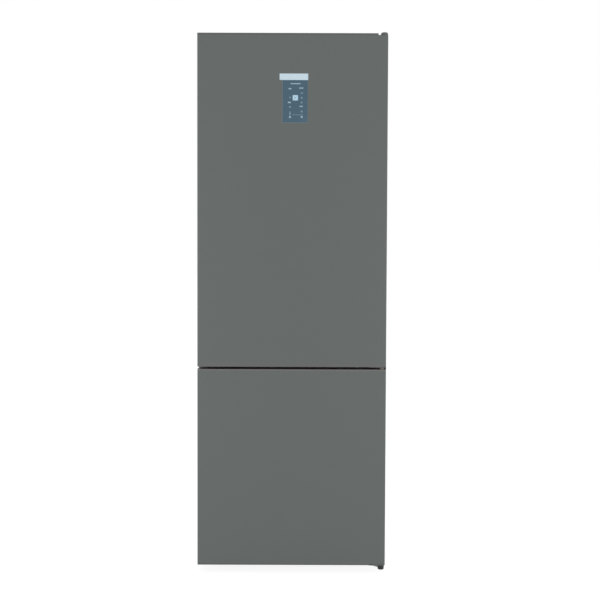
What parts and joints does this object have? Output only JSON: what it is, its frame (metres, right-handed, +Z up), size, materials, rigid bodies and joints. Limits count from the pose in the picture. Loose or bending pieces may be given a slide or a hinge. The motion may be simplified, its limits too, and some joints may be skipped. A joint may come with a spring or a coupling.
{
  "type": "refrigerator",
  "caption": "Free-standing grey fridge-freezer with a tall fridge door over a freezer door, a small display on the front, glass shelves, drawers, door racks and a rear condenser.",
  "frame": {"origin": "on the floor, in the middle of the object's width and depth", "axes": "+Z up, -Y towards the doors' front, +X to the right as seen from the front, where the hinges are"},
  "size_m": [0.595, 0.65, 1.7],
  "materials": {
    "door_steel": "satin",
    "cabinet_steel": "satin",
    "dark_steel": "matt",
    "zinc_steel": "satin",
    "black_steel": "satin",
    "chrome_wire": "polished",
    "aluminium_fins": "satin",
    "white_liner": "satin",
    "grey_plastic": "matt",
    "dark_plastic": "matt",
    "clear_plastic": "gloss",
    "green_plastic": "satin",
    "shelf_glass": "gloss",
    "display_glass": "gloss",
    "display_strip": "satin",
    "foam": "matt",
    "seal_rubber": "matt",
    "black_rubber": "matt"
  },
  "bodies": {
    "cabinet": {"outer_wrap": "cabinet_steel", "rear_panel": "dark_steel", "base_pan": "dark_steel", "cabinet_foam": "foam", "fridge_liner": "white_liner", "freezer_liner": "white_liner", "mullion_rail": "cabinet_steel", "plinth": "dark_plastic", "top_hinge": "zinc_steel", "top_hinge_cover": "grey_plastic", "middle_hinge": "zinc_steel", "bottom_hinge": "zinc_steel", "compressor": "black_steel", "compressor_mounts": "black_rubber", "relay_box": "dark_plastic", "drip_tray": "dark_plastic", "condenser_tube": "black_steel", "condenser_wires": "black_steel", "wall_spacers": "dark_plastic", "fridge_duct_panel": "white_liner", "lamp_cover": "clear_plastic", "shelf_glass": "shelf_glass", "shelf_trims": "clear_plastic", "wine_rack": "chrome_wire", "crisper_shelf_glass": "shelf_glass", "crisper_shelf_frame": "white_liner", "evaporator": "aluminium_fins", "evaporator_cover": "white_liner", "fan_motor": "dark_plastic"},
    "fridge_door": {"fridge_door_skin": "door_steel", "fridge_door_foam": "foam", "fridge_door_liner": "white_liner", "fridge_door_caps": "grey_plastic", "fridge_door_seal": "seal_rubber", "fridge_door_grip": "grey_plastic", "display_housing": "dark_plastic", "display_glass": "display_glass", "display_strip": "display_strip", "dairy_rack": "clear_plastic", "door_racks": "clear_plastic", "door_bottle_rack": "clear_plastic"},
    "freezer_door": {"freezer_door_skin": "door_steel", "freezer_door_foam": "foam", "freezer_door_liner": "white_liner", "freezer_door_caps": "grey_plastic", "freezer_door_seal": "seal_rubber", "freezer_door_grip": "grey_plastic"},
    "dairy_lid": {"dairy_lid": "clear_plastic"},
    "fan_blade": {"fan_blade": "white_liner"},
    "damper_flap": {"damper_flap": "dark_plastic"},
    "humidity_slider": {"humidity_slider": "green_plastic"},
    "crisper_drawer": {"crisper_drawer": "clear_plastic"},
    "chiller_drawer": {"chiller_drawer": "clear_plastic"},
    "freezer_drawer_top": {"freezer_drawer_top": "clear_plastic"},
    "freezer_drawer_middle": {"freezer_drawer_middle": "clear_plastic"},
    "freezer_drawer_bottom": {"freezer_drawer_bottom": "clear_plastic"},
    "foot_left": {"foot_left": "dark_plastic"},
    "foot_right": {"foot_right": "dark_plastic"},
    "roller_left": {"roller_left": "dark_plastic"},
    "roller_right": {"roller_right": "dark_plastic"}
  },
  "joints": [
    {"name": "fridge_door_hinge", "type": "hinge", "parent": "cabinet", "child": "fridge_door", "pos_m": [0.2845, -0.296, 0.65], "axis": [0, 0, 1], "range_deg": [0, 120]},
    {"name": "freezer_door_hinge", "type": "hinge", "parent": "cabinet", "child": "freezer_door", "pos_m": [0.2845, -0.296, 0.65], "axis": [0, 0, 1], "range_deg": [0, 120]},
    {"name": "crisper_slide", "type": "slide", "parent": "cabinet", "child": "crisper_drawer", "axis": [0, -1, 0], "range_m": [0, 0.19]},
    {"name": "chiller_slide", "type": "slide", "parent": "cabinet", "child": "chiller_drawer", "axis": [0, -1, 0], "range_m": [0, 0.19]},
    {"name": "freezer_top_slide", "type": "slide", "parent": "cabinet", "child": "freezer_drawer_top", "axis": [0, -1, 0], "range_m": [0, 0.19]},
    {"name": "freezer_middle_slide", "type": "slide", "parent": "cabinet", "child": "freezer_drawer_middle", "axis": [0, -1, 0], "range_m": [0, 0.19]},
    {"name": "freezer_bottom_slide", "type": "slide", "parent": "cabinet", "child": "freezer_drawer_bottom", "axis": [0, -1, 0], "range_m": [0, 0.19]},
    {"name": "dairy_lid_hinge", "type": "hinge", "parent": "fridge_door", "child": "dairy_lid", "pos_m": [0, -0.235, 1.524], "axis": [1, 0, 0], "range_deg": [0, 90]},
    {"name": "humidity_slide", "type": "slide", "parent": "cabinet", "child": "humidity_slider", "axis": [1, 0, 0], "range_m": [0, 0.066]},
    {"name": "damper_hinge", "type": "hinge", "parent": "cabinet", "child": "damper_flap", "pos_m": [0, 0.222, 0.798], "axis": [1, 0, 0], "range_deg": [-75, 0]},
    {"name": "fan_spin", "type": "hinge", "parent": "cabinet", "child": "fan_blade", "pos_m": [0, 0.182, 0.56], "axis": [0, 1, 0], "continuous": true},
    {"name": "left_foot_turn", "type": "hinge", "parent": "cabinet", "child": "foot_left", "pos_m": [-0.2705, -0.205, 0.02], "axis": [0, 0, 1], "continuous": true},
    {"name": "right_foot_turn", "type": "hinge", "parent": "cabinet", "child": "foot_right", "pos_m": [0.2865, -0.274, 0.012], "axis": [0, 0, 1], "continuous": true},
    {"name": "left_roller_turn", "type": "hinge", "parent": "cabinet", "child": "roller_left", "pos_m": [-0.2505, 0.255, 0.015], "axis": [1, 0, 0], "continuous": true},
    {"name": "right_roller_turn", "type": "hinge", "parent": "cabinet", "child": "roller_right", "pos_m": [0.2505, 0.255, 0.015], "axis": [1, 0, 0], "continuous": true}
  ],
  "couplings": [
    {"joint": "crisper_slide", "follows": "fridge_door_hinge", "m_per_rad": 0.09},
    {"joint": "chiller_slide", "follows": "fridge_door_hinge", "m_per_rad": 0.09},
    {"joint": "freezer_top_slide", "follows": "freezer_door_hinge", "m_per_rad": 0.09},
    {"joint": "freezer_middle_slide", "follows": "freezer_door_hinge", "m_per_rad": 0.09},
    {"joint": "freezer_bottom_slide", "follows": "freezer_door_hinge", "m_per_rad": 0.09}
  ]
}
